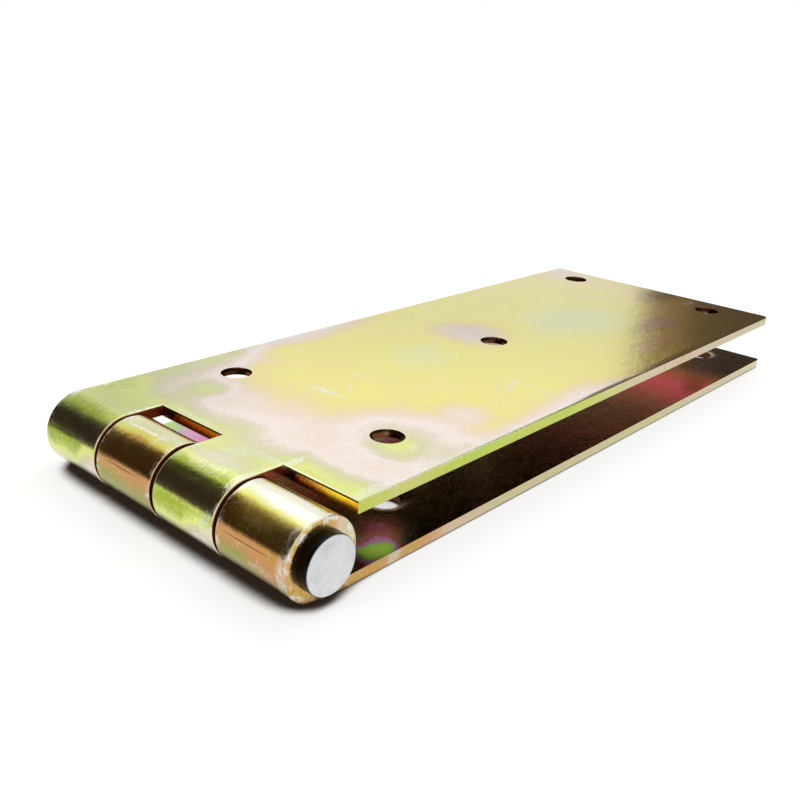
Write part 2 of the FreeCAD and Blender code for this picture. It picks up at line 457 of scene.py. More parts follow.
@dataclass
class LeafPlace:
    """Sockets of one material that say where on a leaf a point lies and which way it faces.

    Attributes:
        tree: The node tree.
        place: The place in millimetres.
        x: Its first number.
        y: Its second number.
        z: Its third number.
        nx: How far the face turns to X, 0 to 1.
        ny: How far it turns to Y.
        nz: How far it turns up or down.
        warped: The place, wandering by up to 4.5 mm, so that patches have uneven outlines.
        cloud: A slow noise, 0 to 1.
        on_plate: 1 on the flat plate, past the knuckles.
        height: Height above the pin's axis.
        out: Place along X from the pin's axis.
        depth: Distance from the pin's axis on the roll, and above or below it on the plate.
    """

    tree: Tree
    place: Socket
    x: Socket
    y: Socket
    z: Socket
    nx: Socket
    ny: Socket
    nz: Socket
    warped: Socket
    cloud: Socket
    on_plate: Socket
    height: Socket
    out: Socket
    depth: Socket

    @classmethod
    def read(cls, tree: Tree) -> "LeafPlace":
        """Adds the nodes that find it."""
        source = add_node(tree, "TexCoord").outputs
        place = add_node(tree, "Mapping", POINT, Vector=source["Object"], Scale=PER_MM).outputs[0]
        x, y, z = add_node(tree, "SeparateXYZ", i0=place).outputs
        facing = add_node(tree, "VectorMath", {"operation": "ABSOLUTE"}, i0=source["Normal"]).outputs[0]
        nx, ny, nz = add_node(tree, "SeparateXYZ", i0=facing).outputs
        drift = add_node(tree, "TexNoise", **Pattern.DRIFT.at(place)).outputs["Color"]
        shift = add_node(
            tree, "VectorMath", {"operation": "MULTIPLY_ADD"}, i0=drift, i1=(9.0, 9.0, 4.0), i2=(-4.5, -4.5, -2.0)
        ).outputs[0]
        warped = add_node(tree, "VectorMath", {"operation": "ADD"}, i0=place, i1=shift).outputs[0]
        cloud = add_node(tree, "TexNoise", **Pattern.CLOUD.at(warped)).outputs[0]
        on_plate = add_node(tree, "MapRange", Value=x, **runs(ZONES.plate)).outputs[0]
        height = combine(tree, "SUBTRACT", z, SIZES.axis_z)
        out = combine(tree, "SUBTRACT", x, SIZES.axis_x)
        outward = add_node(tree, "CombineXYZ", X=out, Y=0.0, Z=height).outputs[0]
        radius = add_node(tree, "VectorMath", {"operation": "LENGTH"}, i0=outward).outputs["Value"]
        level = add_node(tree, "Math", {"operation": "ABSOLUTE"}, i0=height).outputs[0]
        depth = add_node(tree, "Mix", NUMBERS, i0=on_plate, i2=radius, i3=level).outputs[0]
        return cls(tree, place, x, y, z, nx, ny, nz, warped, cloud, on_plate, height, out, depth)


@dataclass(frozen=True)
class YellowZinc:
    """Zinc plated steel sheet with yellow passivation.

    The eye sees a satin metal whose film shifts in soft blooms from straw to pink, lilac and lime, thicker
    and browner on the inner faces and on the cut faces, with hairline scratches, and bare whitish zinc where
    edges have rubbed. Painted shade, a painted highlight and painted dark reflections are laid into its colours too.

    Attributes:
        name: The material's name.
        side: Which leaf it is for.
        outer: The film of the outer face.
        roll_film_and_painted_light: Pairs of angle about the pin and thickness, for the outer face of the knuckles;
            partly painted light, a pale painted highlight on top and painted shade below and behind.
        inner: The film of the inner face.
        cut: The film of the cut faces.
        marks: Rubbed marks.
        painted_shade: Pairs of place towards the far free corner, X plus Y, and how far painted shade darkens the
            outer face and the cut faces there.
        painted_shade_patches: Patches of painted shade, where the outer face is darker.
        creases_and_dark_rim_lines: Fine dark lines: creases, and a painted dark reflection along the upper leaf's
            near rim.
        dull: Where the surface is rougher.
        powdery: Where the film is thick and powdery, and scatters light.
        notch: Colours of the backs of the notches, from the near side to the far one.
        roughness: The plating's roughness.
        bare_roughness: The roughness of rubbed zinc.
        shade_and_speck_colour: What painted shade and fine specks darken the faces to.
        bare_colour: Rubbed zinc.
        gap_colour: The sides of the knuckles, deep in the joint.
        gap_matt: How far those sides scatter light.
        dark_line_colour: The colour of those dark lines: the dirt of creases, and a painted dark reflection on the
            rim.
        bloom_core: The share of a patch's reach that has the full amount.
        mark_core: The same for a mark.
    """

    name: str
    side: Side
    outer: Film
    roll_film_and_painted_light: Pairs
    inner: Film
    cut: Film
    marks: tuple[Mark, ...]
    painted_shade: Pairs = ((-200.0, 0.05), (200.0, 0.05))
    painted_shade_patches: tuple[Bloom, ...] = ()
    creases_and_dark_rim_lines: tuple[Mark, ...] = ()
    dull: tuple[Mark, ...] = ()
    powdery: tuple[Mark, ...] = ()
    notch: Stops = (
        (0.02, "FBE66C"), (0.11, "F8CC54"), (0.18, "D88A34"), (0.24, "9A5828"), (0.33, "7A4420"),
        (0.66, "EC9A36"), (0.78, "CC7C30"), (0.9, "9A5A28"), (1.0, "7A4420"),
    )
    roughness: float = 0.18
    bare_roughness: float = 0.4
    shade_and_speck_colour: str = "1E1A12"
    bare_colour: str = "E9E7DD"
    gap_colour: str = "803E18"
    gap_matt: float = 0.3
    dark_line_colour: str = "4A1E10"
    bloom_core: float = 0.08
    mark_core: float = 0.35

    def make(self) -> bpy.types.Material:
        """Makes the material."""
        material, tree = empty_material(self.name)
        at = LeafPlace.read(tree)
        # Painted shade: a ramp that darkens the outer face and the cut faces towards the far free corner.
        painted_shade = curve(tree, combine(tree, "ADD", at.x, at.y), self.painted_shade)
        across = combine(tree, "MAXIMUM", at.ny, combine(tree, "MULTIPLY", at.nx, at.on_plate))
        sideways = add_node(tree, "MapRange", Value=across, **runs(ZONES.sideways)).outputs[0]
        colour = self.cover_cut(at, self.colour_faces(at, painted_shade), painted_shade, sideways)

        is_outer = add_node(tree, "MapRange", Value=at.depth, **runs(ZONES.outer)).outputs[0]
        rubbed = combine(tree, "MULTIPLY", is_outer, self.rubbed(at, across))
        bare = combine(tree, "MAXIMUM", rubbed, self.scratches(at), *self.marked(at, at.place, self.marks))
        colour = add_node(tree, "Mix", COLOURS, i0=bare, i6=colour, i7=linear(self.bare_colour)).outputs[2]
        from_middle = add_node(tree, "Math", {"operation": "ABSOLUTE"}, i0=at.y).outputs[0]
        inside = add_node(tree, "MapRange", Value=from_middle, **runs(ZONES.inside_ends)).outputs[0]
        on_roll = add_node(tree, "MapRange", Value=at.x, **runs(ZONES.roll)).outputs[0]
        in_gap = combine(tree, "MULTIPLY", sideways, inside, on_roll)
        colour = add_node(tree, "Mix", COLOURS, i0=in_gap, i6=colour, i7=linear(self.gap_colour)).outputs[2]
        # Fine dark lines: creases on the lower knuckles, and a painted dark reflection along the upper leaf's near
        # rim.
        dark_line = combine(tree, "MAXIMUM", *self.marked(at, at.place, self.creases_and_dark_rim_lines, False))
        colour = add_node(tree, "Mix", COLOURS, i0=dark_line, i6=colour, i7=linear(self.dark_line_colour)).outputs[2]

        rough = add_node(
            tree, "MapRange", Value=bare, To_Min=self.roughness, To_Max=self.bare_roughness
        ).outputs[0]
        rough = combine(tree, "ADD", rough, *self.marked(at, at.warped, self.dull, False))
        matt = combine(tree, "MULTIPLY", in_gap, self.gap_matt)
        matt = combine(tree, "MAXIMUM", matt, *self.marked(at, at.warped, self.powdery, False))
        metal = combine(tree, "SUBTRACT", 1.0, matt)
        shader = add_node(
            tree, "BsdfPrincipled", Base_Color=colour, Metallic=metal, Roughness=rough, Normal=self.relief(at)
        )
        add_node(tree, "OutputMaterial", Surface=shader.outputs[0])
        return material

    def colour_faces(self, at: LeafPlace, painted_shade: Socket) -> Socket:
        """Colours the outer face, with the roll's by its angle about the pin, darkens it with painted shade, and
        colours the inner face.

        Args:
            at: Where a point lies.
            painted_shade: How far painted shade darkens the outer face.

        Returns:
            The colour.
        """
        tree = at.tree
        angle = add_node(tree, "Math", {"operation": "ARCTAN2"}, i0=at.height, i1=at.out).outputs[0]
        angle = add_node(tree, "Math", {"operation": "DEGREES"}, i0=angle).outputs[0]
        angle = add_node(
            tree, "Math", {"operation": "WRAP"}, i0=angle, i1=ZONES.end_angle, i2=ZONES.start_angle
        ).outputs[0]
        outer = self.outer
        # The knuckles' film goes by the angle about the pin and carries painted light: a pale painted highlight and
        # painted shade.
        rolled = self.thickness(at, Film(self.roll_film_and_painted_light, outer.colours, outer.blooms, outer.drift), angle)
        past_pin = add_node(tree, "MapRange", Value=at.x, **runs(ZONES.past_pin)).outputs[0]
        plate_level = 2 * SIZES.axis_z if self.side is Side.UPPER else 0.0
        off_plate = combine(tree, "SUBTRACT", at.z, plate_level)
        off_plate = add_node(tree, "Math", {"operation": "ABSOLUTE"}, i0=off_plate).outputs[0]
        off_plate = add_node(tree, "MapRange", Value=off_plate, **runs(ZONES.off_plate)).outputs[0]
        on_roll = combine(tree, "MAXIMUM", past_pin, off_plate)
        film = add_node(tree, "Mix", NUMBERS, i0=on_roll, i2=self.thickness(at, outer), i3=rolled).outputs[0]
        colour = film_ramp(tree, film, outer.colours)

        specks = add_node(tree, "TexNoise", **Pattern.SPECKS.at(at.place)).outputs[0]
        specks = add_node(tree, "MapRange", Value=specks, **runs((0.35, 0.65), (0.06, 0.0))).outputs[0]
        # Painted shade: patches and the ramp darken the outer face, along with the metal's own fine dark specks.
        painted_shade_patches = [within(tree, at.warped, shade, self.bloom_core) for shade in self.painted_shade_patches]
        dim = combine(tree, "ADD", painted_shade, specks, *painted_shade_patches)
        colour = add_node(tree, "Mix", COLOURS, i0=dim, i6=colour, i7=linear(self.shade_and_speck_colour)).outputs[2]
        is_inner = add_node(tree, "MapRange", Value=at.depth, **runs(ZONES.inner)).outputs[0]
        inner = film_ramp(tree, self.thickness(at, self.inner), self.inner.colours)
        return add_node(tree, "Mix", COLOURS, i0=is_inner, i6=colour, i7=inner).outputs[2]

    def cover_cut(self, at: LeafPlace, colour: Socket, painted_shade: Socket, sideways: Socket) -> Socket:
        """Colours the cut faces, streaked by the shears and darkened by painted shade, and the backs of the notches.

        Args:
            at: Where a point lies.
            colour: The colour of the other faces.
            painted_shade: How far painted shade darkens the faces.
            sideways: 1 on a face that turns to a cut side.

        Returns:
            The colour.
        """
        tree = at.tree
        steep = add_node(tree, "MapRange", Value=at.nz, **runs(ZONES.upright)).outputs[0]
        is_cut = combine(tree, "MAXIMUM", combine(tree, "MULTIPLY", steep, at.on_plate), sideways)
        streaks = add_node(tree, "Mapping", POINT, Vector=at.place, Scale=(1.0, 1.0, 0.06)).outputs[0]
        shear = add_node(tree, "TexNoise", **Pattern.SHEAR.at(streaks)).outputs[0]
        shear = add_node(tree, "MapRange", Value=shear, **runs(NOISE_SPAN, (-0.1, 0.1))).outputs[0]
        cut = film_ramp(tree, combine(tree, "ADD", shear, self.thickness(at, self.cut)), self.cut.colours)
        # Painted shade on the cut faces, by the same ramp.
        cut = add_node(tree, "Mix", COLOURS, i0=painted_shade, i6=cut, i7=linear(self.shade_and_speck_colour)).outputs[2]
        colour = add_node(tree, "Mix", COLOURS, i0=is_cut, i6=colour, i7=cut).outputs[2]

        stripe = add_node(tree, "MapRange", Value=at.y, **runs((-SIZES.width / 2, SIZES.width / 4))).outputs[0]
        by_notch = add_node(tree, "MapRange", Value=at.x, **runs(ZONES.by_notch)).outputs[0]
        faces_pin = add_node(tree, "MapRange", Value=at.nx, **runs(ZONES.sideways)).outputs[0]
        is_notch = combine(tree, "MULTIPLY", faces_pin, by_notch, at.on_plate)
        notch = film_ramp(tree, stripe, self.notch)
        return add_node(tree, "Mix", COLOURS, i0=is_notch, i6=colour, i7=notch).outputs[2]

    def thickness(self, at: LeafPlace, film: Film, run: Socket | None = None) -> Socket:
        """Adds up one film's thickness.

        Args:
            at: Where a point lies.
            film: The film.
            run: What the film's first numbers go by, or None for the place along X.

        Returns:
            The thickness.
        """
        tree = at.tree
        if run is None:
            run = add_node(tree, "SeparateXYZ", i0=at.warped).outputs[0]
        usual = curve(tree, run, film.along)
        wander = add_node(
            tree, "MapRange", Value=at.cloud, **runs(NOISE_SPAN, (-film.drift, film.drift))
        ).outputs[0]
        grain = add_node(tree, "TexNoise", **Pattern.GRAIN.at(at.warped)).outputs[0]
        grain = add_node(
            tree, "MapRange", {"clamp": False}, Value=grain, **runs(NOISE_SPAN, (-film.grain, film.grain))
        ).outputs[0]
        blooms = [within(tree, at.warped, bloom, self.bloom_core) for bloom in film.blooms]
        return combine(tree, "ADD", usual, wander, grain, *blooms)

    def marked(self, at: LeafPlace, place: Socket, marks: tuple[Mark, ...], broken: bool = True) -> list[Socket]:
        """Draws marks, broken up by a fine noise or whole; without marks, one blank.

        Args:
            at: Where a point lies.
            place: The place that the marks go by, plain or wandering.
            marks: The marks.
            broken: Whether they are broken up.

        Returns:
            How strong each mark is, 0 to 1.
        """
        tree = at.tree
        if not marks:
            return [0.0]
        spots = [within(tree, place, mark, self.mark_core, mark.turn) for mark in marks]
        if not broken:
            return spots
        speck = add_node(tree, "TexNoise", **Pattern.BROKEN.at(place)).outputs[0]
        broken_up = add_node(tree, "MapRange", Value=speck, **runs((0.4, 0.58))).outputs[0]
        return [combine(tree, "MULTIPLY", spot, broken_up) for spot in spots]

    def rubbed(self, at: LeafPlace, across: Socket) -> Socket:
        """Finds where rims and the sides of the knuckles are rubbed bare.

        Args:
            at: Where a point lies.
            across: How far the face turns to a cut side, 0 to 1.

        Returns:
            How bare the place is, 0 to 1.
        """
        tree = at.tree
        patchy = add_node(tree, "TexNoise", **Pattern.RUBBED.at(at.place)).outputs[0]
        on_rim = curve(tree, across, ((0.05, 0.0), (0.16, 0.85), (0.4, 0.5), (0.7, 0.12), (0.92, 0.0)))
        worn = add_node(tree, "MapRange", Value=patchy, **runs((0.36, 0.5))).outputs[0]
        fading = add_node(tree, "MapRange", Value=at.x, **runs((5.0, 40.0), (1.0, 0.25))).outputs[0]
        rim = combine(tree, "MULTIPLY", on_rim, combine(tree, "MULTIPLY", worn, fading))

        to_side = add_node(tree, "Math", {"operation": "PINGPONG"}, i0=at.y, i1=SIZES.pitch / 2).outputs[0]
        by_side = add_node(tree, "MapRange", Value=to_side, **runs(ZONES.by_side)).outputs[0]
        on_knuckle = add_node(tree, "MapRange", Value=at.x, **runs(ZONES.knuckle)).outputs[0]
        spotty = add_node(tree, "MapRange", Value=patchy, **runs((0.5, 0.6))).outputs[0]
        return combine(tree, "MAXIMUM", rim, combine(tree, "MULTIPLY", by_side, on_knuckle, spotty))

    def scratches(self, at: LeafPlace) -> Socket:
        """Draws faint hairline scratches, long thin dashes at three slants, about 0.15 mm wide."""
        tree = at.tree
        lines = []
        for slant, length, width, least in ((0.5, 24.0, 0.16, 0.79), (1.9, 15.0, 0.14, 0.795), (2.6, 9.0, 0.12, 0.8)):
            turned = add_node(
                tree, "Mapping", TEXTURE, Vector=at.place, Rotation=(0.0, 0.0, slant), Scale=(length, width, 1.5)
            ).outputs[0]
            dashes = add_node(tree, "TexNoise", **Pattern.DASHES.at(turned)).outputs[0]
            faint = runs((least, least + 0.04), (0.0, 0.4))
            lines.append(add_node(tree, "MapRange", Value=dashes, **faint).outputs[0])
        return combine(tree, "MAXIMUM", *lines)

    def relief(self, at: LeafPlace) -> Socket:
        """Gives the sheet its slight unevenness and the plating its fine grain, with depths in millimetres."""
        normal = {}
        for pattern, depth in ((Pattern.WAVES, 0.04), (Pattern.DIMPLES, 0.016), (Pattern.PLATING, 0.009)):
            bumps = add_node(at.tree, "TexNoise", **pattern.at(at.place)).outputs[0]
            bump = add_node(at.tree, "Bump", Strength=1.0, Distance=depth * MM, Height=bumps, **normal)
            normal = {"Normal": bump.outputs[0]}
        return bump.outputs[0]


@dataclass(frozen=True)
class BrightSteel:
    """Drawn steel bar, cut to length: the ends are matte and pale, the round side is darker and oily, and darkened
    further with painted shade.

    Attributes:
        name: The material's name.
        end_colours: The mottled colours of the sawn ends.
        oily_shaded_side_colour: The colour of the round side: dark oily steel with painted shade in it.
        end_roughness: The roughness of the ends.
        side_roughness: The roughness of the round side.
        end_depth: How far in from the tip the end begins and is full, in millimetres.
        end_relief: How deep the ends' grain is, in millimetres.
    """

    name: str = "drawn_steel"
    end_colours: Stops = ((0.3, "D3D5D6"), (0.5, "E2E3E4"), (0.7, "E9EAEA"))
    oily_shaded_side_colour: str = "1C1918"
    end_roughness: float = 0.55
    side_roughness: float = 0.3
    end_depth: Span = (0.25, 0.05)
    end_relief: float = 0.02

    def make(self) -> bpy.types.Material:
        """Makes the material."""
        material, tree = empty_material(self.name)
        where = add_node(tree, "TexCoord").outputs["Object"]
        place = add_node(tree, "Mapping", POINT, Vector=where, Scale=PER_MM).outputs[0]
        along = add_node(tree, "SeparateXYZ", i0=place).outputs[1]
        away = add_node(tree, "Math", {"operation": "ABSOLUTE"}, i0=along).outputs[0]
        tip = tuple(SIZES.pin_half_length - depth for depth in self.end_depth)
        is_end = add_node(tree, "MapRange", Value=away, **runs(tip)).outputs[0]
        mottle = add_node(tree, "TexNoise", **Pattern.MOTTLE.at(place)).outputs[0]
        pale = film_ramp(tree, mottle, self.end_colours)
        # Painted shade: the round side's dark colour stands in partly for the shade of the bore it sits in.
        colour = add_node(tree, "Mix", COLOURS, i0=is_end, i6=linear(self.oily_shaded_side_colour), i7=pale).outputs[2]
        rough = add_node(
            tree, "MapRange", Value=is_end, To_Min=self.side_roughness, To_Max=self.end_roughness
        ).outputs[0]
        grain = add_node(tree, "TexNoise", **Pattern.SAWN.at(place)).outputs[0]
        bump = add_node(tree, "Bump", Strength=1.0, Distance=self.end_relief * MM, Height=grain).outputs[0]
        shader = add_node(
            tree, "BsdfPrincipled", Base_Color=colour, Metallic=1.0, Roughness=rough, Normal=bump
        )
        add_node(tree, "OutputMaterial", Surface=shader.outputs[0])
        return material


INNER_COLOURS = (
    (0.00, "6E6650"), (0.06, "A69E7E"), (0.14, "BA926A"), (0.30, "BC6E34"), (0.45, "D06488"),
    (0.60, "D894C4"), (0.74, "C6A2C0"), (0.86, "A6C284"), (1.00, "B4E448"),
)
CUT_COLOURS = (
    (0.00, "643C1C"), (0.08, "B8752E"), (0.20, "C8A458"), (0.35, "D0A276"), (0.50, "D6C2A4"),
    (0.68, "CCC694"), (0.80, "C8CA6C"), (1.00, "B4C84E"),
)


def hole_blooms(z: float) -> tuple[Bloom, ...]:
    """Makes the cut film thin and brown on the walls of one leaf's screw holes, at its height."""
    return tuple(
        Bloom((SIZES.axis_x + along, across + SIZES.row_shift, z), (12.0, 12.0, 14.0), -1.6)
        for along, across in SIZES.holes
    )


UPPER_FINISH = YellowZinc(
    name="yellow_zinc_upper",
    side=Side.UPPER,
    outer=Film(
        along=(
            (-96.0, 0.82), (-88.0, 0.82), (-84.0, 0.79), (-80.5, 0.66), (-77.0, 0.53), (-72.0, 0.49),
            (-66.0, 0.44),
            (-60.0, 0.36), (-53.0, 0.28), (30.0, 0.26), (60.0, 0.27), (85.0, 0.32), (104.0, 0.35),
        ),
        colours=(
            (0.00, "DCDEB6"), (0.12, "E9EBA6"), (0.26, "F4EB80"), (0.36, "F2E09C"), (0.45, "F3DFCC"),
            (0.55, "F9ECE4"), (0.64, "E6DAC0"), (0.74, "DADBA4"), (0.85, "E8EE8A"), (1.00, "A2B43A"),
        ),
        blooms=(
            Bloom((-68.0, 38.0, 17.0), (25.0, 17.0, 8.0), 0.28),
            Bloom((-73.0, 21.0, 17.0), (10.0, 8.0, 8.0), 0.30),
            Bloom((-84.0, -10.0, 17.0), (11.0, 11.0, 8.0), -0.09),
            Bloom((-82.0, -30.0, 17.0), (7.0, 22.0, 8.0), 0.08),
            Bloom((-56.0, -27.0, 17.0), (19.0, 26.0, 8.0), 0.33),
            Bloom((-64.0, -29.0, 17.0), (8.0, 8.0, 8.0), 0.20),
            Bloom((-38.0, -26.0, 17.0), (9.0, 9.0, 8.0), 0.20),
            Bloom((-20.0, -46.0, 17.0), (68.0, 16.0, 8.0), 0.42),
            Bloom((-34.0, 47.0, 17.0), (52.0, 18.0, 8.0), 0.45),
            Bloom((-54.0, 34.0, 17.0), (15.0, 15.0, 8.0), 0.20),
            Bloom((10.5, 10.0, 17.0), (15.0, 17.0, 8.0), 0.23),
            Bloom((-17.0, 6.0, 17.0), (18.0, 18.0, 8.0), -0.11),
            Bloom((49.0, -1.0, 17.0), (32.0, 23.0, 8.0), -0.17),
            Bloom((98.0, 36.0, 17.0), (22.0, 20.0, 8.0), 0.10),
            Bloom((66.0, -21.0, 17.0), (22.0, 10.0, 8.0), 0.13),
            Bloom((46.0, -31.0, 17.0), (20.0, 9.0, 8.0), 0.12),
            Bloom((85.0, -28.0, 17.0), (18.0, 13.0, 8.0), -0.12),
            Bloom((-93.0, -10.0, 17.0), (6.0, 12.0, 3.5), -0.12),
            Bloom((-102.5, 22.0, 7.0), (5.0, 6.0, 7.0), -0.28),
            Bloom((-102.5, -15.0, 6.0), (5.0, 6.0, 7.0), -0.22),
        ),
        drift=0.045,
    ),
    # Partly painted light: the deeper lime below the knuckles' dark band is painted shade, for a dim reflection of
    # the floor.
    roll_film_and_painted_light=(
        (30.0, 0.6), (84.0, 0.79), (92.0, 0.84), (104.0, 0.93), (118.0, 1.0), (126.0, 0.9), (132.0, 0.79),
        (152.0, 0.79), (159.0, 0.92), (166.0, 1.0), (180.0, 0.95), (200.0, 0.78), (390.0, 0.6),
    ),
    inner=Film(
        along=((-110.0, 0.06), (45.0, 0.06), (66.0, 0.26), (78.0, 0.40), (92.0, 0.42), (104.0, 0.2)),
        colours=INNER_COLOURS,
    ),
    cut=Film(
        along=(
            (-104.0, 0.14), (-89.0, 0.16), (-87.0, 0.88), (-83.0, 0.86), (-79.0, 0.82), (-74.0, 0.76),
            (-69.0, 0.80),
            (-62.0, 0.90), (-50.0, 0.96), (-5.0, 0.90), (8.0, 0.70), (25.0, 0.52), (45.0, 0.46), (60.0, 0.52),
            (104.0, 0.58),
        ),
        colours=CUT_COLOURS,
        blooms=(Bloom((-95.0, 2.0, 8.5), (12.0, 36.0, 16.0), -0.08), *hole_blooms(16.0)),
    ),
    marks=(
        Mark((-52.5, 3.5, 17.1), (1.7, 7.5, 2.0), 4.0, 0.85),
        Mark((-47.0, 1.0, 17.1), (0.4, 7.0, 2.0), -38.0, 0.6),
        Mark((-39.5, 7.0, 17.1), (1.4, 3.0, 2.0), -20.0, 0.4),
        Mark((-15.0, -22.8, 17.1), (7.0, 0.9, 2.0), 20.0, 0.8),
        Mark((-13.5, -32.5, 17.1), (0.8, 6.5, 2.0), -22.0, 0.9),
        Mark((-54.0, -39.9, 17.1), (46.0, 1.7, 0.5), 0.0, 1.0),
        Mark((6.0, -39.9, 17.1), (40.0, 0.9, 0.45), 0.0, 0.3),
        Mark((-81.0, -38.2, 17.1), (10.0, 1.8, 0.5), 3.0, 0.8),
        Mark((-60.5, -31.0, 17.1), (3.0, 1.3, 2.0), 30.0, 0.5),
        Mark((-84.0, -20.0, 17.1), (5.0, 1.4, 2.0), 0.0, 1.0),
        Mark((-86.0, -20.0, 17.1), (1.2, 21.0, 2.0), 0.0, 0.5),
        Mark((-84.6, 10.0, 17.1), (1.2, 11.0, 2.0), 0.0, 0.45),
        Mark((-94.5, -10.0, 17.1), (5.0, 10.0, 2.5), 0.0, 0.4),
        Mark((-88.5, -9.0, 17.1), (4.0, 5.0, 2.5), 30.0, 0.35),
        Mark((96.0, -15.5, 17.1), (5.0, 2.2, 2.0), 0.0, 0.4),
        Mark((-102.6, -17.6, 7.5), (2.5, 2.6, 6.0), 0.0, 0.9),
        Mark((-96.0, -18.6, 16.5), (6.0, 1.5, 4.0), 0.0, 1.0),
    ),
    # Painted shade: the outer face and the cut faces darken towards the far free corner.
    painted_shade=((-110.0, 0.0), (-80.0, 0.0), (-44.0, 0.02), (0.0, 0.13), (36.0, 0.21), (66.0, 0.23), (150.0, 0.23)),
    # Painted shade patches, standing in for shade and dark reflections: the far left, the knuckles' dark band, the
    # near right end.
    painted_shade_patches=(
        Bloom((-86.0, 40.0, 15.0), (44.0, 48.0, 16.0), 0.26),
        Bloom((11.0, 12.0, 17.0), (13.0, 15.0, 8.0), 0.12),
        Bloom((-40.0, 46.0, 17.0), (60.0, 14.0, 8.0), 0.10),
        Bloom((-93.0, 28.0, 17.0), (11.0, 18.0, 6.0), 0.10),
        Bloom((-101.0, 10.0, 14.0), (4.5, 150.0, 3.6), 0.42),
        Bloom((-97.5, -10.0, 16.7), (3.5, 12.0, 3.0), 0.24),
        Bloom((97.0, -5.0, 17.0), (16.0, 10.0, 8.0), 0.42),
        Bloom((60.0, -20.0, 17.0), (20.0, 7.0, 8.0), 0.10),
    ),
    # These dark lines along the near rim are the rounded rim's painted dark reflection.
    creases_and_dark_rim_lines=(
        Mark((3.0, -39.4, 17.1), (19.0, 0.7, 0.5), 0.0, 0.75),
        Mark((36.0, -39.0, 17.1), (26.0, 1.1, 0.5), 0.6, 0.55),
    ),
)
